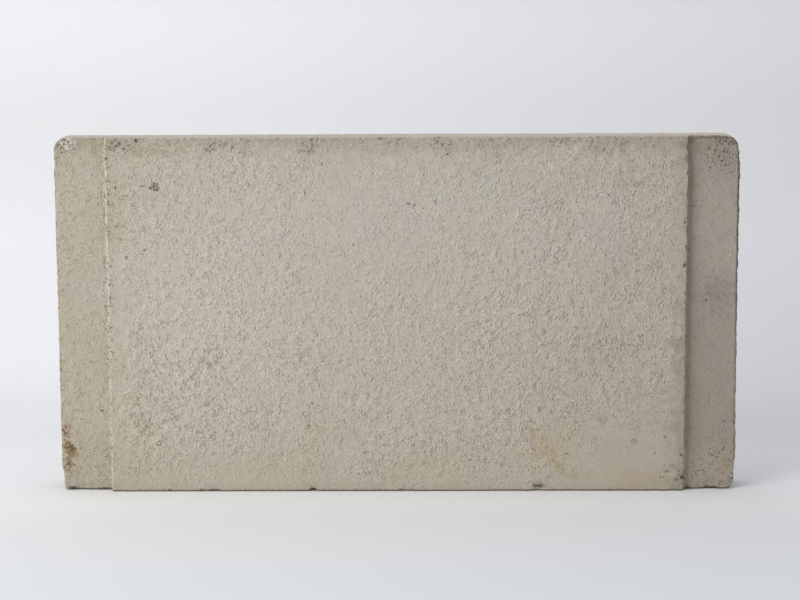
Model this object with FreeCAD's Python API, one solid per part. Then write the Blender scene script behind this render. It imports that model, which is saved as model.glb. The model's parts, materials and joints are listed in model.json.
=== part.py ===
# Refractory firebrick panel: one cast and fired slab for a combustion chamber wall.
#
# The slab stands on a long edge. Its back is flat. Its front is a raised field between two
# rebates, one down each end, where the neighbouring wall panels lap over it. The mould gave the
# two step walls a little draft and a small radius at root and arris. The outer corners and
# arrises are rounded, each corner by its own amount, as handling has left them.
#
# Frame: X along the length, Y from front (-) to back (+), Z up. The origin is the centre of the
# edge that the slab stands on. Lengths are in millimetres, angles in degrees.
import FreeCAD, Part
import math
import os

length = 508.0
height = 266.7
thickness = 38.1              # over the raised field

rebate_width = 38.1           # flat seat at each end, from the end to the foot of the step
rebate_depth = 6.35           # how far a seat lies back from the raised field
step_draft = 6.0              # lean of each step wall, so that the mould lets go
step_root_radius = 1.8        # hollow at the foot of the step
step_arris_radius = 1.0       # rounded top of the step

corner_radius_top_left = 7.5  # outline corners, as the front shows them
corner_radius_top_right = 10.0
corner_radius_bottom_right = 8.0
corner_radius_bottom_left = 5.0

front_arris_radius = 0.9      # round between the front and the four edges
back_arris_radius = 1.5       # round between the back and the four edges

half_length = length / 2
front_y = -thickness / 2
back_y = thickness / 2
seat_y = front_y + rebate_depth
step_root_x = half_length - rebate_width
step_arris_x = step_root_x - rebate_depth * math.tan(math.radians(step_draft))

TOUCH = 1e-4                  # how near counts as lying on a plane


def unit(vector):
    """The vector at length one."""
    return FreeCAD.Vector(vector).normalize()


def rounded_polygon(corners):
    """A flat face inside corners, each (point, radius), with a tangent arc at each radius over zero."""
    starts, ends, arcs = [], [], []
    for i, (point, radius) in enumerate(corners):
        back = unit(corners[i - 1][0] - point)
        ahead = unit(corners[(i + 1) % len(corners)][0] - point)
        if radius == 0:
            starts.append(point)
            ends.append(point)
            arcs.append(None)
            continue
        half_angle = back.getAngle(ahead) / 2
        to_tangent = radius / math.tan(half_angle)
        to_centre = radius / math.sin(half_angle)
        middle = point + unit(back + ahead) * (to_centre - radius)
        starts.append(point + back * to_tangent)
        ends.append(point + ahead * to_tangent)
        arcs.append(Part.Arc(starts[i], middle, ends[i]).toShape())
    edges = []
    for i in range(len(corners)):
        if arcs[i]:
            edges.append(arcs[i])
        edges.append(Part.LineSegment(ends[i], starts[(i + 1) % len(corners)]).toShape())
    return Part.Face(Part.Wire(edges))


def plan_section():
    """The slab seen from above: flat back, two seats, and the raised field between two steps."""
    z = 0
    corners = [
        (FreeCAD.Vector(-half_length, back_y, z), 0),
        (FreeCAD.Vector(-half_length, seat_y, z), 0),
        (FreeCAD.Vector(-step_root_x, seat_y, z), step_root_radius),
        (FreeCAD.Vector(-step_arris_x, front_y, z), step_arris_radius),
        (FreeCAD.Vector(step_arris_x, front_y, z), step_arris_radius),
        (FreeCAD.Vector(step_root_x, seat_y, z), step_root_radius),
        (FreeCAD.Vector(half_length, seat_y, z), 0),
        (FreeCAD.Vector(half_length, back_y, z), 0),
    ]
    return rounded_polygon(corners)


def front_outline():
    """The slab seen from the front: a rectangle with its four corners rounded."""
    corners = [
        (FreeCAD.Vector(-half_length, front_y, 0), corner_radius_bottom_left),
        (FreeCAD.Vector(half_length, front_y, 0), corner_radius_bottom_right),
        (FreeCAD.Vector(half_length, front_y, height), corner_radius_top_right),
        (FreeCAD.Vector(-half_length, front_y, height), corner_radius_top_left),
    ]
    return rounded_polygon(corners)


def back_rim(slab):
    """The closed loop of edges round the flat back."""
    return [e for e in slab.Edges if abs(e.BoundBox.YMin - back_y) < TOUCH]


def front_rim(slab):
    """The closed loop of edges round the front: along the field, down each step and round each seat."""
    rim = []
    for edge in slab.Edges:
        box = edge.BoundBox
        behind_the_seats = box.YMax > seat_y + TOUCH
        runs_up_a_step = box.ZLength > height - TOUCH
        if not behind_the_seats and not runs_up_a_step:
            rim.append(edge)
    return rim


def firebrick():
    """The whole slab: the plan section carried up, inside the front outline carried back, then rounded."""
    up = plan_section().extrude(FreeCAD.Vector(0, 0, height))
    through = front_outline().extrude(FreeCAD.Vector(0, thickness, 0))
    slab = up.common(through)
    slab = slab.makeFillet(back_arris_radius, back_rim(slab))
    slab = slab.makeFillet(front_arris_radius, front_rim(slab))
    return slab.Solids[0]


os.makedirs("parts", exist_ok=True)
brick = firebrick()
brick.exportStep("parts/firebrick.step")

box = brick.optimalBoundingBox()
print(f"firebrick: {box.XLength:.2f} x {box.YLength:.2f} x {box.ZLength:.2f} mm,"
      f" {brick.Volume / 1e6:.3f} litres, {len(brick.Faces)} faces, valid {brick.isValid()}")
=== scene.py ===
# %% [markdown]
# # A cast firebrick panel
# The real thing is one slab of refractory for the wall of a combustion chamber: clay and crushed firebrick,
# pressed into a mould and fired. The frame gives its true size, and everything below stays on that size. First
# the frame is loaded, and its box is kept.

# %% Load the frame
import json
import math

import bmesh
import bpy
from mathutils import Matrix, Vector, kdtree, noise


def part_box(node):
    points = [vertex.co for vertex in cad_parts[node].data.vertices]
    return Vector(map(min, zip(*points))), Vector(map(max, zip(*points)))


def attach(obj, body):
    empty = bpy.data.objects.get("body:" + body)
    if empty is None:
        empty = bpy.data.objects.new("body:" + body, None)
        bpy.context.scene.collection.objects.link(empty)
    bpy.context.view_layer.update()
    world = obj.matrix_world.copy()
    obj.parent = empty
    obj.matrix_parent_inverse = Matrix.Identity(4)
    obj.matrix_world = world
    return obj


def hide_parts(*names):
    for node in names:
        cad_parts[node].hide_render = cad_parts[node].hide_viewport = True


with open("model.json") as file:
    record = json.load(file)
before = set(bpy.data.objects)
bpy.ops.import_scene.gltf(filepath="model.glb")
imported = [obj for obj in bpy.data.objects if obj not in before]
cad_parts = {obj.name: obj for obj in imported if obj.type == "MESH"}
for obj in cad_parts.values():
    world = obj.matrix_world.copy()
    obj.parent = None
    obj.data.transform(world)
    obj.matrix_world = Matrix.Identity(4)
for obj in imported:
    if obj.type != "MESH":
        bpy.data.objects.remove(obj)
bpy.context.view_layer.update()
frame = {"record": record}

# %% [markdown]
# ## Measures
# All lengths are in metres, so a millimetre gets a name. The slab has a raised field in front and
# a seat at each end, where the next panel laps over it. The seat's depth is read from the record,
# where the rebate is a mount. The corners are worn round, each by its own amount.

# %% Measures of the slab
MM = 0.001
low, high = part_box("firebrick")
middle = (low + high) / 2
seat_y = next(m["pos_m"][1] for m in frame["record"]["mounts"] if m["name"] == "left_rebate")
rebate_depth = seat_y - low.y
rebate_width = 38.1 * MM
step_lean = rebate_depth * math.tan(math.radians(6))
root_x = high.x - rebate_width
arris_x = root_x - step_lean

front_arris = 0.9 * MM
back_arris = 1.5 * MM
step_arris = 1.2 * MM
step_root = 1.6 * MM
corner_radius = {(-1, 1): 7.5 * MM, (1, 1): 10 * MM, (1, -1): 8 * MM, (-1, -1): 5 * MM}
print("field", round(2 * arris_x / MM, 1), "mm wide, seats", round(rebate_depth / MM, 2), "mm deep")

# %% [markdown]
# ## Camera
# The slab is seen from the front and a little above, with a long lens from about 1.6 m away. That
# keeps its edges almost parallel, as on a catalogue picture. The camera leans by a quarter of a
# degree, because the picture does.

# %% Camera
camera_place = Vector((23.4, -1584.3, 368.7)) * MM
camera_down = 0.1416
camera_turn = -0.0134
camera_lean = -0.0047

camera_data = bpy.data.cameras.new("camera")
camera_data.lens = 95.63
camera_data.sensor_width = 36
camera = bpy.data.objects.new("camera", camera_data)
camera.matrix_world = (
    Matrix.Translation(camera_place)
    @ Matrix.Rotation(-camera_turn, 4, "Z")
    @ Matrix.Rotation(math.pi / 2 - camera_down, 4, "X")
    @ Matrix.Rotation(camera_lean, 4, "Z")
)
bpy.context.scene.collection.objects.link(camera)
bpy.context.scene.camera = camera
bpy.context.scene.view_settings.view_transform = "Standard"

# %% [markdown]
# ## Block with two seats
# The mould gave the slab its form, and here a cube takes its place. It is scaled to the slab's
# size and cut at the two steps. The corners beyond a cut are then pushed back to the seat, which
# leaves the narrow strip between two cuts as the leaning step wall.

# %% Block
TINY = 1e-6


def cut(bm, point, normal):
    """Cuts the whole mesh along a plane, without taking anything away."""
    everything = bm.verts[:] + bm.edges[:] + bm.faces[:]
    bmesh.ops.bisect_plane(bm, geom=everything, dist=TINY, plane_co=point, plane_no=normal)


def block_with_seats():
    """The slab with sharp edges: a raised field between two seats."""
    bm = bmesh.new()
    bmesh.ops.create_cube(bm, size=1)
    bmesh.ops.scale(bm, vec=high - low, verts=bm.verts)
    bmesh.ops.translate(bm, vec=middle, verts=bm.verts)
    for x in (-root_x, -arris_x, arris_x, root_x):
        cut(bm, (x, 0, 0), (1, 0, 0))
    on_seat = [v for v in bm.verts if v.co.y < 0 and abs(v.co.x) > root_x - TINY]
    bmesh.ops.translate(bm, vec=(0, rebate_depth, 0), verts=on_seat)
    return bm


slab_mesh = block_with_seats()
print("block:", len(slab_mesh.faces), "faces")

# %% [markdown]
# ## Rounded corners, steps and arrises
# A bevel with a profile of 0.5 is a quarter circle, so it makes every rounding of the slab. The
# four outline corners come first, then the two steps, then the rims. The rims are found by their
# angle: after the first two rounds only they are still sharp.

# %% Round it
def bevel(bm, edges, radius, segments):
    """Rounds some edges to a radius."""
    bmesh.ops.bevel(
        bm, geom=edges, offset=radius, affect="EDGES", segments=segments, profile=0.5, material=-1
    )


def corner_edges(bm, side, level):
    """The edges that run from front to back at one corner of the outline."""
    z = high.z if level > 0 else low.z
    return [
        e for e in bm.edges
        if all(v.co.x * side > high.x - TINY and abs(v.co.z - z) < TINY for v in e.verts)
    ]


def step_edges(bm, x, y):
    """The upright edges at the top or the foot of the two steps."""
    return [
        e for e in bm.edges
        if all(abs(abs(v.co.x) - x) < TINY and abs(v.co.y - y) < TINY for v in e.verts)
    ]


def rim_edges(bm, front):
    """The edges that are still sharp, in front or at the back."""
    sharp = [e for e in bm.edges if e.calc_face_angle(0) > math.radians(50)]
    return [e for e in sharp if all((v.co.y < middle.y) == front for v in e.verts)]


for (side, level), radius in corner_radius.items():
    bevel(slab_mesh, corner_edges(slab_mesh, side, level), radius, 8)
bevel(slab_mesh, step_edges(slab_mesh, root_x, seat_y), step_root, 3)
bevel(slab_mesh, step_edges(slab_mesh, arris_x, low.y), step_arris, 3)
bevel(slab_mesh, rim_edges(slab_mesh, front=False), back_arris, 3)
bevel(slab_mesh, rim_edges(slab_mesh, front=True), front_arris, 3)
print("rounded:", len(slab_mesh.faces), "faces")

# %% [markdown]
# ## Tiles for the relief
# A relief needs points to move. The slab is cut into small tiles, and the tiles that face the
# front are subdivided once more, because the rough cast face is the one that is looked at. The
# back and the edges stay coarser, which keeps the whole slab under 200,000 triangles.

# %% Cut into tiles
tile = 3.05 * MM
for axis in range(3):
    steps = math.floor((high[axis] - low[axis]) / tile)
    direction = Vector([float(i == axis) for i in range(3)])
    for i in range(1, steps):
        cut(slab_mesh, low + direction * (i + 0.45) * tile, direction)
bmesh.ops.remove_doubles(slab_mesh, verts=slab_mesh.verts, dist=0.12 * MM)
slab_mesh.normal_update()
many_sided = [f for f in slab_mesh.faces if len(f.verts) > 4]
bmesh.ops.triangulate(slab_mesh, faces=many_sided)

front_faces = [f for f in slab_mesh.faces if f.calc_center_median().y < seat_y + front_arris]
front_edges = list({e for f in front_faces for e in f.edges})
bmesh.ops.subdivide_edges(slab_mesh, edges=front_edges, cuts=1, use_grid_fill=True)
slab_mesh.normal_update()
print("tiled:", len(slab_mesh.verts), "points,", len(slab_mesh.faces), "faces")

# %% [markdown]
# ## Where the face is rough
# The face was struck off by hand and not smoothed, so it is lumpy like orange peel. It is
# strongest low on the left, calmer at the upper middle and along its lower border, and the right
# seat is almost smooth. Crumbly patches and calm ones alternate everywhere, and two round patches
# are quite flat. The share of roughness is kept on the mesh, so that the finish can follow it.

# %% Share of roughness
def rise(start, end, value):
    """0 before start, 1 after end, and a soft rise between."""
    t = min(1.0, max(0.0, (value - start) / (end - start)))
    return t * t * (3 - 2 * t)


def near(point, x, z, reach):
    """1 at a place of the front (in millimetres), falling softly to 0 at its reach."""
    away = math.hypot(point.x / MM - x, point.z / MM - z)
    return 1 - rise(0, reach, away)


def cloud(point, size, octaves=2):
    """Noise about 0 with lumps of a size in millimetres, for the most part between -0.6 and 0.6."""
    return noise.fractal(point / (size * MM), 0.8, 2.0, octaves)


def roughness_of(point):
    """How lumpy the surface is there, from 0 to about 1.2."""
    if point.y > seat_y + front_arris:
        return 0.3
    crumbly = 0.6 + 0.58 * rise(-0.28, 0.18, cloud(point, 6, 1))
    crumbly *= 1 + 0.35 * cloud(point, 25)
    if abs(point.x) > arris_x:
        return (0.62 if point.x < 0 else 0.38) * max(0.4, crumbly)
    share = 0.79 + 0.44 * near(point, -165, 72, 100) + 0.25 * near(point, 130, 100, 150)
    share -= 0.36 * near(point, -10, 225, 130) + 0.8 * near(point, 175, 12, 100)
    share -= 0.4 * near(point, -130, 5, 70)
    share *= crumbly
    border = min(arris_x - abs(point.x), 1.3 * point.z) / MM + 8 * cloud(point, 18)
    share *= 0.45 + 0.55 * rise(0, 22, border)
    flat = max(1 - rise(3.5, 5.5, math.hypot(point.x / MM + 206, point.z / MM - 176)),
               0.6 * (1 - rise(2.0, 6.5, math.hypot(point.x / MM + 182, point.z / MM - 59))))
    return max(0.1, share) * (1 - 0.85 * flat)


rough_layer = slab_mesh.verts.layers.float.new("rough")
for v in slab_mesh.verts:
    v[rough_layer] = roughness_of(v.co)
print("roughest", round(max(v[rough_layer] for v in slab_mesh.verts), 2))

# %% [markdown]
# ## Relief
# Each point moves along its normal. The slab is a little wavy as a whole, the rough face has
# lumps of 3 to 5 mm that lean over, and torn hollows lie between them. The arrises crumble, so
# there the points also move sideways. Finer grain than this is left to the material's bump.
# Vector noise takes its start from a random seed, so the seed is set first, and the slab comes out
# the same each time.

# %% Relief of the cast face
noise.seed_set(5)


def leaning(point, slant):
    """The point in a space where lumps lean over, like strokes of the striking bar."""
    return Vector((point.x - slant * point.z, point.y, 0.85 * point.z))


def relief_height(point, rough):
    """How far a point of the surface stands out or lies back."""
    wave = 0.22 * noise.noise(point / (85 * MM)) + 0.07 * noise.noise(point / (17 * MM))
    lump = 0.26 * noise.noise(leaning(point, 0.3) / (4.6 * MM))
    lump += 0.32 * noise.noise(leaning(point + middle, 0.2) / (2.8 * MM))
    torn = rise(0.12, 0.5, noise.noise(leaning(point, -0.2) / (3.6 * MM)))
    coarse = 1 + 0.5 * near(point, -165, 72, 80)
    return (wave + rough * coarse * (lump - 0.4 * torn)) * MM


def arris_closeness(point):
    """1 on an arris, 0 further than a few millimetres from every arris."""
    face_y = low.y if abs(point.x) < arris_x else seat_y
    depths = sorted([
        point.y - face_y, high.y - point.y, high.z - point.z, point.z - low.z, high.x - abs(point.x)
    ])
    to_arris = depths[1]
    if point.y < seat_y - TINY:
        to_arris = min(to_arris, abs(abs(point.x) - arris_x))
    return 1 - rise(0.2, 3.2, to_arris / MM)


def ragged(point):
    """A small shift in any direction, for an arris that is not quite straight."""
    gripped = 1 + 0.9 * rise(249, 253, point.x / MM)
    broad = 0.4 * noise.noise_vector(point / (7.5 * MM))
    return gripped * (broad + 0.34 * noise.noise_vector(point / (2.9 * MM))) * MM


arris_layer = slab_mesh.verts.layers.float.new("arris")
for v in slab_mesh.verts:
    start = v.co.copy()
    close = arris_closeness(start)
    v[arris_layer] = close
    v.co = start + v.normal * relief_height(start, v[rough_layer]) + close * ragged(start)
print("points on an arris:", sum(v[arris_layer] > 0.5 for v in slab_mesh.verts))

# %% [markdown]
# ## Chips
# Handling has knocked small bites out of the arrises. A bite is a place on an arris, a reach, a
# direction into the slab and a depth, in millimetres. Points inside its reach move that way, most
# at its middle, and noise makes its border uneven.

# %% Chips out of the arrises
chips = [
    ((214.8, -19, 259.0), 5.0, (-0.7, 0.6, 0.0), 1.1),
    ((215.0, -19, 250.0), 3.5, (-0.8, 0.6, 0.0), 0.7),
    ((215.0, -19, 12.0), 5.0, (-0.8, 0.6, 0.0), 0.8),
    ((-249, -12.7, 262), 11.0, (0.5, 0.6, -0.6), 0.8),
    ((249, -12.7, 261), 14.0, (-0.5, 0.6, -0.6), 0.9),
    ((106.7, -19, 2.8), 5.5, (0.0, 1.0, 0.3), 1.5),
    ((-63.8, -19, 0.4), 3.5, (0.0, 0.5, 0.8), 1.3),
    ((8.0, -19, 0.4), 5.0, (0.0, 0.5, 0.8), 0.5),
    ((-240, -12.7, 0.4), 7.0, (0.0, 0.5, 0.8), 0.9),
    ((-137.8, -19, 0.4), 6.0, (0.0, 0.5, 0.8), 0.6),
    ((236, -12.7, 0.4), 7.0, (0.0, 0.5, 0.8), 0.9),
    ((-254, -12.7, 247), 4.0, (0.9, 0.4, 0.0), 0.8),
    ((246.5, -12.7, 266.7), 3.6, (-0.2, 0.3, -1.0), 1.0),
    ((254, -12.7, 257.5), 3.6, (-1.0, 0.3, 0.0), 0.8),
    ((255, -12.7, 11), 14.0, (-1.0, 0.2, 0.2), 0.9),
    ((-255, -12.7, 7), 12.0, (1.0, 0.2, 0.2), 1.2),
]

chip_layer = slab_mesh.verts.layers.float.new("chipped")
for place, reach, direction, depth in chips:
    centre = Vector(place) * MM
    inward = Vector(direction).normalized()
    for v in slab_mesh.verts:
        away = (v.co - centre).length / MM
        if away > 1.5 * reach:
            continue
        away += 0.45 * reach * noise.noise(v.co / (2.4 * MM))
        bite = 1 - rise(0.45 * reach, reach, away)
        v[chip_layer] = max(v[chip_layer], bite)
        v.co += inward * bite * depth * MM

for v in slab_mesh.verts:
    v.co.z = max(v.co.z, low.z)
slab_mesh.normal_update()
print("chips:", len(chips))

# %% [markdown]
# ## Tones and stains
# Dust and flame have toned the slab. An olive band lies under the top arris, the upper left is yellower, the
# lower border warmer and the right seat darker. Iron has bled out of the clay in a few places and salts have left
# faint tints. Some of the filters are painted light and shade: the face darkens towards its right end, partly as
# a real tone and partly as painted shade where the light falls off; the seat beside the right step is lightened
# where the step's shadow lies; and the right step's arris, which faces away from the lamp, gets painted light.
# All of this is broad, so it is painted on the points of the mesh: each tone is a filter that multiplies the
# clay's colour by its share at that point.

# %% Paint the tones
stains = [
    ((0.96, 0.86, 0.67), 0.1, [
        (100.5, 45.5, 9, 14, 0.7), (106.5, 38.5, 12, 16, 0.8), (112.5, 32, 12, 14, 0.85),
        (118, 25, 11, 12, 0.8), (123.5, 18.5, 12, 11, 0.8), (131, 12, 16, 11, 0.6),
        (103.5, 31, 9, 14, 0.6), (112, 34, 40, 46, 0.3),
        (-17.5, 248, 13, 9, 0.35), (-6.1, 254.5, 12, 8, 0.4),
        (26.3, 45.7, 20, 16, 0.28), (159, 253.5, 24, 10, 0.4), (196, 250, 16, 14, 0.35),
        (180, 10, 66, 24, 0.32), (-205, 215, 26, 60, 0.2),
    ]),
    ((0.965, 0.955, 1.0), 0.1, [
        (-93, 73, 20, 20, 0.6), (-244, 9, 20, 20, 0.7), (-20, 195, 30, 20, 0.5),
        (60, 30, 40, 26, 0.4), (190, 238, 26, 12, 0.4),
    ]),
    ((0.81, 0.82, 0.83), 0.1, [
        (238, 148, 36, 42, 0.95), (224, 60, 16, 60, 0.25), (247, 252, 30, 36, 0.7),
        (-179, 230.6, 9, 8, 1.0),
    ]),
    ((0.5, 0.5, 0.42), 0.2, [
        (250.5, 263.2, 9, 6, 0.8), (253, 256, 3, 12, 0.6),
    ]),
    ((0.84, 0.76, 0.68), 0.2, [
        (99.8, 47.6, 9, 6, 0.75), (100.7, 40, 4, 9, 0.5), (-61.5, 257, 5, 14, 0.5), (-64.5, 6, 16, 10, 0.4),
        (-180.2, 24, 3, 26, 0.35), (-62.5, 245, 4, 18, 0.3), (246, 20, 18, 26, 0.25),
        (-179.2, 230.4, 7, 6.6, 1.0), (-212, 205, 11, 80, 0.28), (-211, 150, 8, 50, 0.25), (-208, 92, 8, 26, 0.3),
    ]),
    ((0.79, 0.62, 0.44), 0.35, [
        (-250.5, 46, 10, 18, 0.75), (-248, 31, 14, 17, 0.9), (-249.6, 20.2, 10, 12, 0.85),
        (-253, 60, 3, 12, 0.6), (-251.5, 250, 6, 12, 0.35), (-253.5, 100, 2.5, 22, 0.4),
        (-248, 12, 9, 12, 0.3),
    ]),
    ((0.52, 0.44, 0.33), 0.2, [
        (-245.6, 32.5, 7, 8, 0.7), (-249.8, 19.6, 5, 6, 0.7), (-248.5, 26.5, 4, 6, 0.45),
        (-250.5, 43, 6, 6, 0.35),
    ]),
]


def stain_share(point, fray, core, mark):
    """How strongly one stain (x, z, width, height, strength in millimetres) shows at a point."""
    x, z, width, height, strength = mark
    across = (point.x / MM - x) / (width / 2)
    up = (point.z / MM - z) / (height / 2)
    if abs(across) > 1.8 or abs(up) > 1.8:
        return 0.0
    return strength * (1 - rise(core, 1.0, math.hypot(across, up) + fray))


def tone_of(point):
    """The filter over the clay's colour at a point: the product of all tones there."""
    wide = 30 * cloud(point, 30)
    small = 9 * cloud(point, 9, 3)
    from_top = (high.z - point.z) / MM
    from_left = (point.x - low.x) / MM
    from_right = (high.x - point.x) / MM
    above = point.z / MM
    beyond_step = abs(point.x) > arris_x
    from_step = from_right - rebate_width / MM
    on_right_seat = beyond_step and point.x > 0
    from_arris = abs(abs(point.x) - arris_x) / MM
    cool = rise(-0.35, 0.35, cloud(point, 36) + 0.7 * cloud(point, 11))
    filters = [
        (cool, (0.995, 0.998, 1.006)),
        (1 - cool, (1.005, 1.002, 0.99)),
        (rise(18, 1, from_top + small) * rise(0.2, 0.8, from_top), (0.84, 0.83, 0.79)),
        (0.6 * rise(50, 8, from_top + wide), (0.95, 0.94, 0.91)),
        (0.8 * rise(82, 14, from_left + wide), (0.95, 0.945, 0.90)),
        (1 if beyond_step and point.x < 0 else 0, (0.955, 0.95, 0.945)),
        (0 if beyond_step or point.x > 0 else rise(10, 3, from_arris) * rise(170, 200, above),
         (0.95, 0.945, 0.935)),
        (near(point, -140, 120, 115), (1.045, 1.045, 1.05)),
        (near(point, -185, 225, 90), (0.985, 0.98, 0.945)),
        (0 if beyond_step else rise(160, 200, above), (1.008, 1.008, 1.022)),
        (rise(170, 20, above + wide), (0.97, 0.965, 0.945)),
        (0.8 * rise(60, 0, above + wide), (0.94, 0.937, 0.915)),
        (rise(9, 2, above + 0.4 * small), (0.935, 0.93, 0.94)),
        # Partly a real tone, partly painted shade: darker towards the right end, where the light falls off.
        (rise(170, 20, from_right + wide), (0.925, 0.915, 0.91)),
        (0 if beyond_step else rise(14, 2, from_step + small) * (1 - 0.5 * rise(110, 200, above)),
         (0.80, 0.79, 0.76)),
        (1 if on_right_seat else 0, (0.835, 0.82, 0.825)),
        (rise(190, 120, above + 0.5 * wide) * rise(0, -8, from_step) if on_right_seat else 0,
         (0.89, 0.90, 0.885)),
        (rise(44, 20, above) if on_right_seat else 0, (1.17, 1.16, 1.16)),
        # Painted light: the seat beside the right step is lightened where the step's shadow lies on it.
        (rise(-14, -6, from_step) * rise(230, 60, above) if on_right_seat else 0, (1.06, 1.05, 1.03)),
        (near(point, 150, 80, 110), (0.97, 0.97, 0.955)),
        # Painted light: the right step's arris, which turns away from the lamp, is lightened.
        (rise(2.4, 0.8, from_arris) if point.x > 0 else 0, (1.15, 1.14, 1.13)),
        (rise(-0.3, 0.3, cloud(point + middle, 19)), (0.998, 1.004, 0.998)),
        (rise(0.3, -0.3, cloud(point + middle, 19)), (1.003, 0.996, 1.003)),
        (0.12 * rise(-0.1, 0.5, cloud(point, 6, 3)), (0.92, 0.92, 0.90)),
    ]
    tone = [1.0, 1.0, 1.0]
    for share, tint in filters:
        tone = [t * (1 + share * (c - 1)) for t, c in zip(tone, tint)]
    fray = 0.9 * cloud(point, 3.2, 3)
    for tint, core, places in stains:
        share = max(stain_share(point, fray, core, mark) for mark in places)
        tone = [t * (1 + share * (c - 1)) for t, c in zip(tone, tint)]
    return tone


def tone_of_the_skin(point):
    """The filter on the back and the edges: they kept the mould's skin, with dust and rubbed places."""
    blotch = rise(-0.6, 0.6, cloud(point, 75, 3) + 0.5 * cloud(point, 9, 3))
    low_down = rise(46, 0, point.z / MM + 22 * cloud(point, 20))
    rim = arris_closeness(point)
    tone = [1.0, 1.0, 1.0]
    for share, tint in [(blotch, (0.90, 0.89, 0.865)), (low_down, (0.93, 0.91, 0.88)), (rim, (0.9, 0.89, 0.87))]:
        tone = [t * (1 + share * (c - 1)) for t, c in zip(tone, tint)]
    return tone


tone_layer = slab_mesh.verts.layers.float_color.new("tone")
for v in slab_mesh.verts:
    on_front = 1 - rise(8.2 * MM, 9.6 * MM, v.co.y - low.y)
    tone = tone_of(v.co) if on_front > 0 else (1.0, 1.0, 1.0)
    skin = tone_of_the_skin(v.co) if on_front < 1 else (1.0, 1.0, 1.0)
    v[tone_layer] = [s + on_front * (t - s) for t, s in zip(tone, skin)] + [1.0]
print("darkest tone:", round(min(v[tone_layer][1] for v in slab_mesh.verts), 2))

# %% [markdown]
# ## Where the pits are
# Pits of 2 or 3 mm are too small to paint on points, so each face only remembers which placed pit
# is nearest. Its corners keep the way to that pit, in units of the pit's own reach. Inside a face
# this is exact at any point, so the material can draw a sharp pit there. A negative strength makes
# a ring, and a strength of 2 a pale grain. Besides these, some zones are full of pinholes, and a
# share on the points says where.

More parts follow.
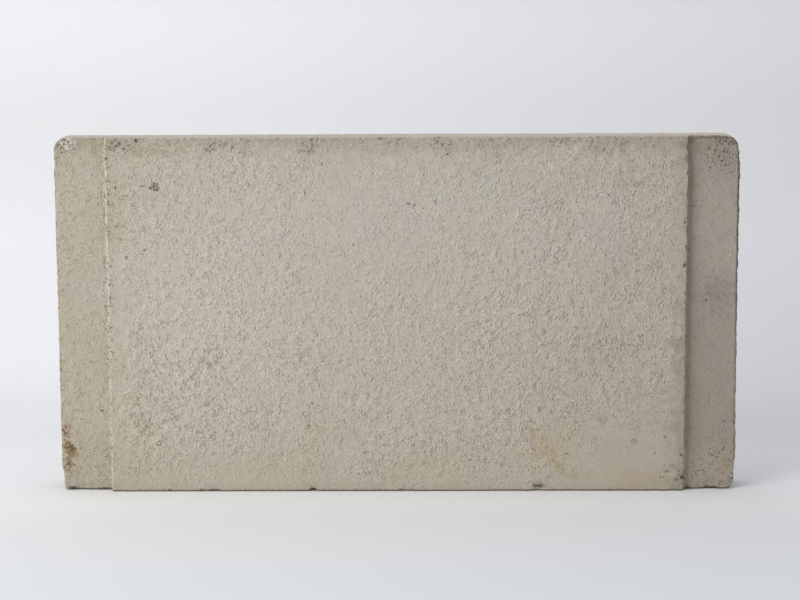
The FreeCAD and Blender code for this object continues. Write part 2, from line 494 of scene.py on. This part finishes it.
# %% Place the pits
pits = [
    (-192, 264.6, 2.6, 2.6, 1.0), (-188.4, 231, 4.2, 1.4, 0.6), (-207.6, 230, 1.8, 2.6, 0.8),
    (-209.6, 263.4, 2.4, 2.2, 0.8), (-206.4, 261, 2.6, 2.2, 0.8), (-204.5, 262.4, 1.6, 3.4, 0.8),
    (-200.8, 258.9, 2.8, 2.2, 0.7), (-211, 259.8, 2.4, 2.0, 0.6),
    (-137, 260, 1.6, 2.8, 0.8), (-135, 258.4, 1.8, 2.0, 0.7), (-137, 256.8, 2.6, 1.3, 0.5),
    (-133.6, 260.8, 1.4, 1.3, 0.5), (-121, 259.6, 1.8, 2.4, 0.5), (-197.5, 261.2, 1.6, 2.2, 0.5),
    (-214.2, 251.4, 2.2, 3.0, 0.8), (-187.3, 183.5, 2.2, 1.8, 0.7), (-200.7, 177.8, 2.6, 3.0, 0.6),
    (-194.7, 216.4, 2.0, 1.6, 0.5), (-204.7, 191.2, 2.2, 2.4, 0.5), (-62, 265, 2.4, 2.0, 0.8),
    (-65.6, 259.6, 1.3, 3.4, 0.45), (-64, 256, 1.7, 4.6, 0.6), (-60.8, 259.4, 1.1, 4.2, 0.4), (-54.7, 246.6, 2.0, 2.2, 0.6), (-85.9, 232, 1.8, 1.8, 0.5),
    (-67.5, 224.6, 1.6, 7.0, 0.4), (-11.7, 265.8, 3.2, 1.8, 0.7), (34.3, 260.9, 1.8, 1.6, 0.8),
    (38, 253.9, 1.9, 1.8, 0.95), (31.5, 266, 2.6, 1.6, 0.7), (25.8, 260.5, 1.8, 1.6, 0.6),
    (9.2, 217.6, 3.4, 2.4, 0.6), (13.4, 216.6, 2.6, 2.2, 0.5), (-32, 187.4, 1.8, 2.0, 0.6),
    (29, 219, 2.0, 3.6, 0.5), (-188.6, 26, 1.4, 10.0, 0.12), (-185, 75, 1.2, 5.0, 0.35),
    (-181.5, 70.5, 2.6, 3.6, 0.3), (-172, 68.6, 9.0, 1.3, 0.3),
    (-64, 67.5, 2.6, 1.8, 0.6), (-66.5, 50.2, 2.4, 4.0, 0.5), (-22.7, 30.1, 2.6, 2.2, 0.4),
    (106.8, 62.6, 3.2, 5.0, 0.45), (102.9, 79.6, 2.6, 6.0, 0.4), (127.4, 28.6, 1.8, 1.8, 0.6),
    (69.4, 22.6, 1.4, 1.4, 0.8), (-222.3, 60.9, 2.0, 2.0, 0.8), (-188.7, 49.9, 2.4, 3.6, 0.5),
    (156.8, 223.6, 2.0, 2.2, 0.6), (213.4, 170.8, 2.2, 2.8, 1.0),
    (213.6, 203, 2.0, 2.4, 0.7), (214, 185.2, 1.6, 2.0, 0.7), (220.4, 214.2, 5.0, 1.2, 0.5),
    (230.5, 143.9, 1.8, 1.8, 0.7), (213, 27.5, 2.0, 2.2, 0.9), (213.8, 10.0, 2.4, 3.0, 1.0),
    (200.5, 41, 1.8, 1.8, 0.7), (193, 29, 1.6, 1.6, 0.5), (246, 52, 2.2, 2.2, 0.5),
    (106.7, 3.8, 9.0, 3.2, 0.9), (-63.8, 1.6, 6.0, 2.6, 1.0), (-171.9, 1.0, 4.0, 1.6, 0.9),
    (-147.8, 1.4, 3.0, 1.6, 0.8), (-138, 1.2, 10, 1.8, 0.8), (-246.2, 1.6, 8.0, 2.4, 1.0),
    (-222, 1.0, 12, 1.8, 0.9), (236, 1.0, 14, 2.4, 1.0), (219, 0.9, 5.0, 2.0, 0.9), (2.6, 1.2, 5.0, 1.4, 0.6),
    (11, 1.2, 4.0, 1.4, 0.5),
    (-178.9, 232.9, 3.2, 2.2, 1.0), (-176.5, 232.1, 1.9, 2.1, 0.9), (-176.0, 230.3, 1.8, 2.3, 0.9),
    (-177.1, 228.3, 2.4, 1.8, 1.0), (-179.2, 228.4, 1.9, 1.6, 0.9), (-181.6, 229.6, 2.7, 2.5, 1.0),
    (-179.4, 230.6, 2.8, 2.7, 1.0), (-177.7, 230.5, 1.6, 2.4, 0.8), (-180.6, 232.0, 1.7, 1.6, 0.8),
    (197.5, 10.4, 1.7, 1.5, 0.6), (199.8, 10.6, 1.5, 1.4, 0.6),
    (203, 10.6, 1.5, 1.4, 0.5), (177.4, 37.8, 5.2, 5.2, -0.42), (153.2, 54.8, 7.6, 7.6, -0.3),
    (177.5, 230.5, 5.4, 3.6, -0.38), (191.6, 169.6, 8.0, 8.0, -0.22), (-201.9, 230.6, 4.6, 3.0, -0.4),
    (-250.6, 48, 1.6, 2.2, 0.6), (-248.4, 45.6, 1.5, 1.5, 0.5), (-251, 43.6, 1.8, 1.6, 0.6),
    (-249, 41.4, 1.6, 1.9, 0.5), (-251.2, 39, 1.5, 1.5, 0.5), (-247.6, 36.4, 2.0, 1.6, 0.7),
    (-250.4, 35.4, 1.7, 2.0, 0.6), (-245.4, 34.4, 1.8, 1.5, 0.6), (-249, 32.6, 2.2, 1.7, 0.7),
    (-246.4, 31.2, 1.9, 1.9, 0.8), (-243.8, 29.4, 1.4, 1.5, 0.5), (-248.6, 28.6, 1.6, 1.8, 0.5),
    (-250.2, 24.4, 1.6, 1.8, 0.5), (-248.2, 21, 1.8, 1.6, 0.6), (-250.8, 19.4, 1.7, 1.9, 0.6),
    (-248.9, 16.6, 1.6, 1.5, 0.5), (-246, 25, 1.3, 1.4, 0.4), (-252, 66, 1.4, 2.2, 0.5),
    (-179, 37.3, 2.8, 2.6, 2.0), (247.4, 252, 2.0, 1.8, 2.0), (-91.5, 75.5, 1.8, 1.6, 2.0),
    (-246.5, 14, 1.6, 1.5, 2.0), (-242.6, 8.6, 1.5, 1.4, 2.0), (-248.6, 9.6, 1.4, 1.4, 2.0),
]
pit_tree = kdtree.KDTree(len(pits))
for i, (x, z, width, height, strength) in enumerate(pits):
    pit_tree.insert((x * MM, 0, z * MM), i)
pit_tree.balance()

pit_layer = slab_mesh.loops.layers.float_vector.new("to_pit")
faces_of_pits = 0
for face in slab_mesh.faces:
    centre = face.calc_center_median()
    if centre.y > seat_y + 2 * front_arris:
        continue
    found, i, away = pit_tree.find((centre.x, 0, centre.z))
    x, z, width, height, strength = pits[i]
    if away > 8 * MM:
        continue
    faces_of_pits += 1
    for corner in face.loops:
        across = (corner.vert.co.x / MM - x) / (width / 2)
        up = (corner.vert.co.z / MM - z) / (height / 2)
        corner[pit_layer] = (across, up, strength)

pit_zones = [
    (-206, 262, 14, 0.9), (-136, 259, 10, 0.8), (-65, 262, 9, 0.8), (-22, 263, 9, 0.7),
    (0, 264, 9, 0.7), (34, 261, 12, 0.8), (70, 266, 8, 0.6), (120, 266, 10, 0.7), (160, 266, 12, 0.9),
    (190, 266, 10, 0.7), (243, 256, 24, 1.0), (211, 12, 14, 1.0), (244, 20, 26, 1.0),
    (224, 6, 12, 0.7),
    (-247, 262, 14, 0.8), (-249.5, 44, 10, 1.0), (-247, 31, 11, 1.0), (-250, 19, 9, 1.0),
    (-205, 225, 22, 0.4), (-205, 200, 20, 0.4), (239, 150, 14, 0.4),
]


def pitted_share(point):
    """How many pinholes there are: in the zones, along the steps and on the arrises."""
    share = max(strength * near(point, x, z, 1.4 * reach) for x, z, reach, strength in pit_zones)
    upper = rise(60, 130, point.z / MM)
    share = max(share, (0.3 + 0.7 * upper) * (1 - rise(1.2, 6.0, abs(point.x + arris_x) / MM)))
    share = max(share, 0.45 * (1 - rise(0.6, 2.6, abs(point.x - arris_x) / MM)))
    return min(1.0, share * rise(-0.45, 0.5, cloud(point, 4)) * 1.6)


pitted_layer = slab_mesh.verts.layers.float.new("pitted")
for v in slab_mesh.verts:
    if v.co.y < seat_y + 2 * front_arris:
        v[pitted_layer] = max(pitted_share(v.co), 0.5 * v[arris_layer])
print(len(pits), "pits on", faces_of_pits, "faces")

# %% Make the slab an object
slab_data = bpy.data.meshes.new("firebrick_slab")
slab_mesh.to_mesh(slab_data)
slab_mesh.free()
slab_data.polygons.foreach_set("use_smooth", [True] * len(slab_data.polygons))
slab = bpy.data.objects.new("firebrick_slab", slab_data)
bpy.context.scene.collection.objects.link(slab)
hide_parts("firebrick")
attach(slab, "root")
slab_data.calc_loop_triangles()
print("slab:", len(slab_data.loop_triangles), "triangles")

# %% [markdown]
# ## Helpers for materials
# A procedural material is a small network. A few helpers keep it readable: one places a node and
# wires its inputs, and the others give sums, ramps, mixes and noises a short name. All sizes in
# the materials are in millimetres, because the coordinates are scaled once at the start.

# %% Node helpers
def srgb(red, green, blue):
    """A colour as a picture shows it (0 to 255), as the linear values a shader needs."""
    values = [v / 255 for v in (red, green, blue)]
    return [v / 12.92 if v <= 0.04045 else ((v + 0.055) / 1.055) ** 2.4 for v in values] + [1.0]


def place(tree, kind, sockets=None, **settings):
    """Adds one node. Sockets take a value or another node's output."""
    made = tree.nodes.new(kind)
    for name, value in settings.items():
        setattr(made, name, value)
    for key, value in (sockets or {}).items():
        if isinstance(value, bpy.types.NodeSocket):
            tree.links.new(value, made.inputs[key])
        else:
            made.inputs[key].default_value = value
    return made


def maths(tree, operation, a, b=0.0, clamp=False):
    """One sum of two values."""
    return place(tree, "ShaderNodeMath", {0: a, 1: b}, operation=operation, use_clamp=clamp).outputs[0]


def ramp(tree, value, start, end, first=0.0, last=1.0):
    """A soft rise of a value from first to last."""
    sockets = {"Value": value, "From Min": start, "From Max": end, "To Min": first, "To Max": last}
    return place(tree, "ShaderNodeMapRange", sockets, interpolation_type="SMOOTHSTEP").outputs[0]


def mix(tree, share, a, b, blend="MIX"):
    """One colour over another, by a share."""
    sockets = {0: share, 6: a, 7: b}
    return place(tree, "ShaderNodeMix", sockets, data_type="RGBA", blend_type=blend).outputs[2]


def speckle(tree, vector, size, detail=2.0, roughness=0.5, distortion=0.0):
    """Noise from 0 to 1 with lumps of a size in millimetres."""
    sockets = {
        "Vector": vector, "Scale": 1 / size, "Detail": detail,
        "Roughness": roughness, "Distortion": distortion,
    }
    return place(tree, "ShaderNodeTexNoise", sockets).outputs["Fac"]


def new_group(name, inputs, outputs):
    """An empty node group with named sockets: (name, kind, default value)."""
    tree = bpy.data.node_groups.new(name, "ShaderNodeTree")
    for label, kind, value in inputs:
        socket = tree.interface.new_socket(label, in_out="INPUT", socket_type="NodeSocket" + kind)
        socket.default_value = value
    for label, kind in outputs:
        tree.interface.new_socket(label, in_out="OUTPUT", socket_type="NodeSocket" + kind)
    return tree, tree.nodes.new("NodeGroupInput").outputs, tree.nodes.new("NodeGroupOutput").inputs


def use(tree, group, sockets):
    """Places a group in a material."""
    return place(tree, "ShaderNodeGroup", sockets, node_tree=group).outputs


# %% [markdown]
# ## Placed pits
# One group draws all the listed pits. The corners of the faces tell how far away the nearest pit is, in units of
# its reach, and a fine noise frays its border. Where the strength is negative, the middle of the mark is taken
# away again, and a ring is left. A strength of 2 is a pale grain of quartz in a dark rim.

# %% Group for placed pits
pit_group, given, result = new_group(
    "placed_pits", [("To Pit", "Vector", (9, 9, 0)), ("Fray", "Float", 0.0)],
    [("Mask", "Float"), ("Grain", "Float")],
)
parts = place(pit_group, "ShaderNodeSeparateXYZ", {0: given["To Pit"]}).outputs
flat_way = place(pit_group, "ShaderNodeCombineXYZ", {0: parts["X"], 1: parts["Y"], 2: 0.0}).outputs[0]
plain_distance = place(
    pit_group, "ShaderNodeVectorMath", {0: flat_way}, operation="LENGTH"
).outputs["Value"]
distance = maths(pit_group, "ADD", plain_distance, given["Fray"])
outside = ramp(pit_group, distance, 1.0, 0.6)
inside = maths(pit_group, "MULTIPLY", ramp(pit_group, distance, 0.6, 0.35), 0.85)
is_ring = maths(pit_group, "LESS_THAN", parts["Z"], 0.0)
mask = maths(pit_group, "SUBTRACT", outside, maths(pit_group, "MULTIPLY", inside, is_ring), clamp=True)
mask = maths(pit_group, "MULTIPLY", mask, maths(pit_group, "ABSOLUTE", parts["Z"]))
is_grain = maths(pit_group, "GREATER_THAN", parts["Z"], 1.5)
grain = maths(pit_group, "MULTIPLY", ramp(pit_group, plain_distance, 0.75, 0.55), is_grain)
rim_of_grain = maths(pit_group, "MULTIPLY", grain, 2.0)
pit_group.links.new(maths(pit_group, "SUBTRACT", mask, rim_of_grain, clamp=True), result["Mask"])
pit_group.links.new(grain, result["Grain"])

# %% [markdown]
# ## Pinholes
# Trapped air and burnt-out grains leave pinholes. A Voronoi pattern gives each cell one random
# point and one random number: the number decides which cells hold a hole, and how wide it is.

# %% Group for pinholes
pinhole_group, given, result = new_group(
    "pinholes",
    [
        ("Vector", "Vector", (0, 0, 0)), ("Spacing", "Float", 4.0),
        ("Share", "Float", 0.2), ("Width", "Float", 0.5),
    ],
    [("Mask", "Float")],
)
cell_scale = maths(pinhole_group, "DIVIDE", 1.0, given["Spacing"])
cells = place(pinhole_group, "ShaderNodeTexVoronoi", {"Vector": given["Vector"], "Scale": cell_scale}).outputs
cell_number = place(pinhole_group, "ShaderNodeSeparateColor", {0: cells["Color"]}).outputs
away = maths(pinhole_group, "MULTIPLY", cells["Distance"], given["Spacing"])
width = maths(pinhole_group, "MULTIPLY", given["Width"], maths(pinhole_group, "ADD", cell_number[1], 0.4))
holds_one = maths(pinhole_group, "LESS_THAN", cell_number[0], given["Share"])
hole = ramp(pinhole_group, away, width, maths(pinhole_group, "MULTIPLY", width, 0.45))
pinhole_group.links.new(maths(pinhole_group, "MULTIPLY", hole, holds_one), result["Mask"])

# %% [markdown]
# ## Coordinates of the slab's material
# The material reads the object's own coordinates, scaled to millimetres, and what the mesh carries for it: the
# shares of roughness and pinholes, the tone, and the way to the nearest pit.
# The face was struck off with a bar, so its crumbs are drawn out a little along the strokes: a
# Mapping node stretches them, and a noise bends them.

# %% Start the material
refractory = bpy.data.materials.new("fired_refractory")
refractory.use_nodes = True
tree = refractory.node_tree
tree.nodes.clear()
coordinates = place(tree, "ShaderNodeTexCoord").outputs["Object"]
spot = place(tree, "ShaderNodeVectorMath", {0: coordinates, "Scale": 1 / MM}, operation="SCALE").outputs[0]
along = place(tree, "ShaderNodeSeparateXYZ", {0: spot}).outputs


def carried(name, output="Fac"):
    """What the mesh carries under a name."""
    return place(tree, "ShaderNodeAttribute", attribute_name=name).outputs[output]


rough_share = carried("rough")
stroke = place(
    tree, "ShaderNodeMapping", {"Vector": spot, "Rotation": (0, 0.55, 0), "Scale": (1, 1, 1.15)},
    vector_type="TEXTURE",
).outputs[0]
distort = place(tree, "ShaderNodeTexNoise", {"Vector": spot, "Scale": 0.4, "Detail": 2.0}).outputs["Color"]
bent = place(
    tree, "ShaderNodeVectorMath", {0: distort, 1: (2.6, 2.6, 2.6), 2: stroke}, operation="MULTIPLY_ADD"
).outputs[0]
front = ramp(tree, along["Y"], -8, -11)

# %% [markdown]
# ## Colour of the fired clay
# Fired clay is matte and never one colour. The painted tones give the broad picture. Under them
# lie tints of a few millimetres, warmer or cooler, greener or pinker, as grains of crushed brick
# show through, and sand-sized grain on top.

# %% Clay
clay = srgb(187, 179, 169)
clay_warm = (1.004, 1.0, 0.987, 1.0)
clay_cool = (0.995, 0.999, 1.010, 1.0)

cool = ramp(tree, speckle(tree, spot, 2.8, 3, 0.65), 0.36, 0.64)
colour = mix(tree, 1.0, clay, mix(tree, cool, clay_warm, clay_cool), "MULTIPLY")
colour = mix(tree, 0.022, colour, distort, "LINEAR_LIGHT")
sand = speckle(tree, spot, 0.75, 2, 0.65)
shade = ramp(tree, sand, 0.25, 0.75, 0.82, 1.20)
shade_colour = place(tree, "ShaderNodeCombineColor", {0: shade, 1: shade, 2: shade}).outputs[0]
grain_share = ramp(tree, rough_share, 0.1, 0.7, 0.5, 1.0)
colour = mix(tree, grain_share, colour, shade_colour, "MULTIPLY")
# Painted light: rougher places get a paler colour, which makes up for the shade between their crumbs, and
# smoother ones a touch darker.
rough_painted_light = ramp(tree, rough_share, 0.3, 1.3, 0.965, 1.05)
rough_painted_light_colour = place(tree, "ShaderNodeCombineColor", {0: rough_painted_light, 1: rough_painted_light, 2: rough_painted_light}).outputs[0]
colour = mix(tree, 1.0, colour, rough_painted_light_colour, "MULTIPLY")
tone = carried("tone", "Color")
colour = mix(tree, 1.0, colour, tone, "MULTIPLY")

tone_parts = place(tree, "ShaderNodeSeparateColor", {0: tone}).outputs
blue_against_red = maths(tree, "DIVIDE", tone_parts["Blue"], tone_parts["Red"])
rusty = ramp(tree, blue_against_red, 0.72, 0.55)
rust_grains = ramp(tree, speckle(tree, spot, 1.2, 2, 0.6), 0.48, 0.60, 0.0, 0.55)
colour = mix(tree, maths(tree, "MULTIPLY", rusty, rust_grains), colour, srgb(72, 56, 38))

# %% [markdown]
# ## Top face
# The long edge on top was the open side of the mould. Its colour is painted a little darker and cooler than the
# front's: painted shade on the top face.

# %% Top face
# Painted shade: the top face is darkened and cooled a little.
top_face_shade = ramp(tree, along["Z"], high.z / MM - 1.1, high.z / MM - 0.4)
colour = mix(tree, top_face_shade, colour, (0.93, 0.925, 0.955, 1.0), "MULTIPLY")

# %% [markdown]
# ## Pits
# Pinholes are scattered by a pattern: few and faint on the field, many in the zones. The listed pits join them.
# All of them are dark and cut into the surface.

# %% Pits
fray = maths(tree, "MULTIPLY", maths(tree, "SUBTRACT", speckle(tree, spot, 0.9, 2, 0.6), 0.5), 3.2)
placed = use(tree, pit_group, {"To Pit": carried("to_pit", "Vector"), "Fray": fray})
field_holes = use(tree, pinhole_group, {"Vector": bent, "Spacing": 6.0, "Share": 0.16, "Width": 0.45})["Mask"]
zone_holes = use(tree, pinhole_group, {"Vector": bent, "Spacing": 1.15, "Share": 0.6, "Width": 0.62})["Mask"]
holes = maths(tree, "MULTIPLY", zone_holes, carried("pitted"))
holes = maths(tree, "MAXIMUM", holes, maths(tree, "MULTIPLY", field_holes, 0.3))
holes = maths(tree, "MAXIMUM", holes, placed["Mask"])
holes = maths(tree, "MULTIPLY", holes, front)
bubbles = use(tree, pinhole_group, {"Vector": spot, "Spacing": 9.0, "Share": 0.4, "Width": 1.1})["Mask"]
on_skin = maths(tree, "SUBTRACT", 1.0, front)
holes = maths(tree, "MAXIMUM", holes, maths(tree, "MULTIPLY", bubbles, on_skin))
colour = mix(tree, maths(tree, "MULTIPLY", holes, 0.85), colour, srgb(56, 45, 35))
colour = mix(tree, placed["Grain"], colour, srgb(228, 221, 203))

# %% [markdown]
# ## Dark lines along the edges
# Along the foot, the two ends and the top of the right seat, the front's arris is darker and broken. A noise with
# a threshold leaves bare stretches between the dark ones. The fresh breaks of the upper left corner are paler
# than the rest. The left step's arris has a broken pale line, partly wear and partly a painted highlight where
# the arris catches the light.

# %% Dark lines and pale breaks
from_left = maths(tree, "ADD", along["X"], high.x / MM)
from_right = maths(tree, "SUBTRACT", high.x / MM, along["X"])
from_top = maths(tree, "ABSOLUTE", maths(tree, "SUBTRACT", high.z / MM - 1.4, along["Z"]))
patches = speckle(tree, spot, 4.5, 4, 0.7)
crumbs = speckle(tree, spot, 1.6, 3, 0.7)


def dark_line_along(distance, reach, start, least, most):
    """A dark broken line along an edge that is a distance away."""
    near_edge = ramp(tree, distance, reach, 0.4 * reach)
    return maths(tree, "MULTIPLY", near_edge, ramp(tree, crumbs, start, start + 0.14, least, most))


on_right = ramp(tree, from_right, rebate_width / MM + 6, rebate_width / MM)
dark_edges = dark_line_along(along["Z"], 1.6, 0.36, 0.5, 0.9)
higher_up = ramp(tree, along["Z"], 60, 190, 0.3, 1.0)
dark_right_edge = maths(tree, "MULTIPLY", dark_line_along(from_right, 2.2, 0.4, 0.3, 0.95), higher_up)
dark_edges = maths(tree, "MAXIMUM", dark_edges, dark_right_edge)
dark_edges = maths(tree, "MAXIMUM", dark_edges, dark_line_along(from_left, 1.7, 0.52, 0.0, 0.7))
dark_top_edge = maths(tree, "MULTIPLY", dark_line_along(from_top, 1.7, 0.46, 0.05, 0.7), on_right)
dark_edges = maths(tree, "MULTIPLY", maths(tree, "MAXIMUM", dark_edges, dark_top_edge), front)
colour = mix(tree, dark_edges, colour, srgb(80, 72, 60))

from_step = maths(tree, "ABSOLUTE", maths(tree, "ADD", along["X"], arris_x / MM + 0.1))
on_step = maths(tree, "MULTIPLY", ramp(tree, from_step, 1.4, 0.5, 0.0, 0.72), front)
on_step = maths(tree, "MULTIPLY", on_step, ramp(tree, speckle(tree, spot, 11, 2, 0.6), 0.4, 0.56, 0.4, 1.1))
on_step = maths(tree, "MULTIPLY", on_step, ramp(tree, along["Z"], 90, 170, 0.66, 1.1))
on_step = maths(tree, "SUBTRACT", on_step, holes, clamp=True)
# Partly wear, partly a painted highlight: a broken pale line on the left step's arris, where it catches the
# light.
wear_and_highlight = mix(tree, ramp(tree, patches, 0.38, 0.50), srgb(164, 150, 129), srgb(210, 201, 179))
colour = mix(tree, on_step, colour, wear_and_highlight)
to_corner = place(
    tree, "ShaderNodeVectorMath", {0: spot, 1: (1, 0.5, 1.6), 2: (244.5, 6.5, -419.5)},
    operation="MULTIPLY_ADD",
).outputs[0]
from_corner = place(tree, "ShaderNodeVectorMath", {0: to_corner}, operation="LENGTH").outputs["Value"]
broken = ramp(tree, maths(tree, "ADD", from_corner, maths(tree, "MULTIPLY", patches, 9.0)), 13.5, 10.0)
dark_flecks = maths(tree, "MULTIPLY", broken, ramp(tree, crumbs, 0.46, 0.38, 0.0, 0.7))
colour = mix(tree, dark_flecks, colour, srgb(92, 86, 80))
pale_flecks = maths(tree, "MULTIPLY", broken, ramp(tree, crumbs, 0.48, 0.58, 0.0, 0.9))
colour = mix(tree, pale_flecks, colour, srgb(213, 208, 207))

# %% [markdown]
# ## Bump
# The bump carries only what is too fine for the mesh, in millimetres. Crumbs of 1 or 2 mm stick to
# the face and others have been torn out of it. The pattern of the pinholes makes both, once as
# flakes and once as dents: each has a sharp rim that is light on one side and dark on the other.
# The sides of the crumbs that turn away from the key light get a faint warm tint: painted shade. The bump's
# normal tells those sides.

# %% Bump and shader
flakes = use(tree, pinhole_group, {"Vector": bent, "Spacing": 1.95, "Share": 0.68, "Width": 0.95})["Mask"]
elsewhere = place(tree, "ShaderNodeVectorMath", {0: bent, 1: (31.0, 17.0, 47.0)}, operation="ADD").outputs[0]
dents = use(tree, pinhole_group, {"Vector": elsewhere, "Spacing": 1.9, "Share": 0.2, "Width": 0.65})["Mask"]
lumps = speckle(tree, bent, 1.3, 1, 0.5)
crumb_height = maths(tree, "MULTIPLY", maths(tree, "SUBTRACT", flakes, dents), 0.66)
crumb_height = maths(tree, "ADD", crumb_height, maths(tree, "MULTIPLY", lumps, 1.25))
crumb_height = maths(tree, "MULTIPLY", crumb_height, rough_share)
height = maths(tree, "ADD", crumb_height, maths(tree, "MULTIPLY", sand, 0.44))
height = maths(tree, "ADD", height, maths(tree, "MULTIPLY", holes, -0.4))
bump = place(tree, "ShaderNodeBump", {"Strength": 1.0, "Distance": MM, "Height": height})
# Painted shade: a warm tint on the sides of the crumbs that turn away from the key light.
away_from_key_light = place(
    tree, "ShaderNodeVectorMath", {0: bump.outputs[0], 1: (0.7, 0.62, -0.35)}, operation="DOT_PRODUCT"
).outputs["Value"]
shaded_side_tint = ramp(tree, away_from_key_light, -0.95, -0.05)
colour = mix(tree, shaded_side_tint, colour, (1.0, 0.998, 0.90, 1.0), "MULTIPLY")

shader = place(
    tree, "ShaderNodeBsdfPrincipled",
    {"Base Color": colour, "Roughness": 0.9, "Specular IOR Level": 0.25, "Normal": bump.outputs[0]},
)
surface = place(tree, "ShaderNodeOutputMaterial", {"Surface": shader.outputs[0]})
slab_data.materials.append(refractory)
print("material:", len(tree.nodes), "nodes")

# %% [markdown]
# ## Floor and backdrop
# The slab stands on a sheet of pale paper that runs back and curves up behind it. One edge is
# extruded to the back, spun a quarter turn for the curve and extruded up. Seen from behind, the
# paper is see-through, so that it never hides the slab.

# %% Paper sweep
paper_front = -4.0
paper_curve_start = 0.35
paper_curve_radius = 0.45
paper_top = 3.0
paper_half_width = 4.5

paper_mesh = bmesh.new()
ends = [paper_mesh.verts.new((x, paper_front, 0)) for x in (-paper_half_width, paper_half_width)]
edge = paper_mesh.edges.new(ends)


def extruded(bm, edges, vec):
    """Extrudes some edges by a vector and gives the new edges."""
    made = bmesh.ops.extrude_edge_only(bm, edges=edges)["geom"]
    bmesh.ops.translate(bm, vec=vec, verts=[v for v in made if isinstance(v, bmesh.types.BMVert)])
    return [e for e in made if isinstance(e, bmesh.types.BMEdge)]


last = extruded(paper_mesh, [edge], (0, paper_curve_start - paper_front, 0))
turned = bmesh.ops.spin(
    paper_mesh, geom=last + [v for e in last for v in e.verts],
    cent=(0, paper_curve_start, paper_curve_radius), axis=(1, 0, 0), angle=math.pi / 2, steps=24,
)["geom_last"]
last = [e for e in turned if isinstance(e, bmesh.types.BMEdge)]
extruded(paper_mesh, last, (0, 0, paper_top))
bmesh.ops.recalc_face_normals(paper_mesh, faces=paper_mesh.faces)
paper_mesh.faces.ensure_lookup_table()
if paper_mesh.faces[0].normal.z < 0:
    bmesh.ops.reverse_faces(paper_mesh, faces=paper_mesh.faces)
paper_data = bpy.data.meshes.new("paper_sweep")
paper_mesh.to_mesh(paper_data)
paper_mesh.free()
paper_data.polygons.foreach_set("use_smooth", [True] * len(paper_data.polygons))
paper = bpy.data.objects.new("paper_sweep", paper_data)
bpy.context.scene.collection.objects.link(paper)

# %% [markdown]
# ## Tone of the paper
# The paper's colour carries painted light and shade. It is almost white to the left and a little greyer to the
# right, a painted fall of the light from the left. From front to back its tone rises and falls in soft bands:
# pale just in front of the slab, darker behind it, and paler and darker again up the curve. It is palest at the
# slab's foot, where painted light lifts the contact shadow. The tone is in the paper's colour, so no light has to
# be added for it.

# %% Material of the paper
paper_material = bpy.data.materials.new("pale_paper")
paper_material.use_nodes = True
tree = paper_material.node_tree
tree.nodes.clear()
on_paper = place(tree, "ShaderNodeSeparateXYZ", {0: place(tree, "ShaderNodeTexCoord").outputs["Object"]}).outputs
to_back = maths(tree, "DIVIDE", maths(tree, "ADD", on_paper["Y"], 0.3), 1.15, clamp=True)
# Painted light and shade: bands of tone from the front of the paper to the back, pale in front of the slab and
# darker behind it.
tone_curve = place(tree, "ShaderNodeValToRGB", {0: to_back})
stops = [
    (0.0, srgb(218, 221, 223)), (0.14, srgb(219, 220, 222)), (0.22, srgb(228, 228, 228)),
    (0.28, srgb(225, 226, 228)), (0.43, srgb(219, 220, 222)), (0.66, srgb(225, 226, 228)),
    (0.81, srgb(221, 222, 224)), (0.91, srgb(215, 215, 217)), (0.95, srgb(221, 222, 224)),
]
for position, paper_tone in stops[2:]:
    tone_curve.color_ramp.elements.new(position)
for stop, (position, paper_tone) in zip(tone_curve.color_ramp.elements, stops):
    stop.position = position
    stop.color = paper_tone
tone_curve.color_ramp.interpolation = "EASE"
# Painted shade: the paper greys towards the right.
to_right = ramp(tree, on_paper["X"], -0.5, 0.5)
paper_colour = mix(tree, to_right, tone_curve.outputs[0], (0.925, 0.93, 0.945, 1.0), "MULTIPLY")
# Painted light: the paper is paler around the slab's foot, over its contact shadow.
beside = ramp(tree, maths(tree, "ABSOLUTE", on_paper["X"]), 0.27, 0.22)
foot_painted_light = maths(tree, "MULTIPLY", beside, ramp(tree, on_paper["Y"], -0.12, -0.02))
foot_painted_light = maths(tree, "MULTIPLY", foot_painted_light, ramp(tree, on_paper["Y"], 0.1, 0.03))
paper_colour = mix(tree, foot_painted_light, paper_colour, (1.07, 1.08, 1.07, 1.0), "MULTIPLY")
paper_shader = place(
    tree, "ShaderNodeBsdfPrincipled",
    {"Base Color": paper_colour, "Roughness": 0.8, "Specular IOR Level": 0.2},
)
from_behind = place(tree, "ShaderNodeNewGeometry").outputs["Backfacing"]
clear = place(tree, "ShaderNodeBsdfTransparent")
shown = place(tree, "ShaderNodeMixShader", {0: from_behind, 1: paper_shader.outputs[0], 2: clear.outputs[0]})
place(tree, "ShaderNodeOutputMaterial", {"Surface": shown.outputs[0]})
paper_data.materials.append(paper_material)

# %% [markdown]
# ## Light
# A broad soft box stands far to the left of the camera and above it. Its light comes in at about
# 50 degrees, so it draws every lump with a light left side and a dark right side, and it leaves the
# right step in a soft shadow. A second box above lights the top, and the world fills the rest.

# %% Lamps
def soft_box(name, place_at, aim_at, width, height, power):
    """A rectangular lamp that looks at a point."""
    data = bpy.data.lights.new(name, "AREA")
    data.shape = "RECTANGLE"
    data.size = width
    data.size_y = height
    data.energy = power
    lamp = bpy.data.objects.new(name, data)
    lamp.location = place_at
    lamp.rotation_mode = "QUATERNION"
    lamp.rotation_quaternion = (Vector(aim_at) - Vector(place_at)).to_track_quat("-Z", "Y")
    lamp.visible_camera = False
    bpy.context.scene.collection.objects.link(lamp)
    return lamp


soft_box("key_light", (-1.9, -1.75, 0.95), (0.0, 0.0, 0.14), 1.9, 1.1, 55.0)
soft_box("top_light", (0.0, 0.0, 1.5), (0.0, 0.0, 0.0), 1.4, 1.0, 9.4)

world = bpy.data.worlds.new("studio")
world.use_nodes = True
world.node_tree.nodes["Background"].inputs["Color"].default_value = (0.98, 0.98, 1.0, 1.0)
world.node_tree.nodes["Background"].inputs["Strength"].default_value = 0.4
bpy.context.scene.world = world
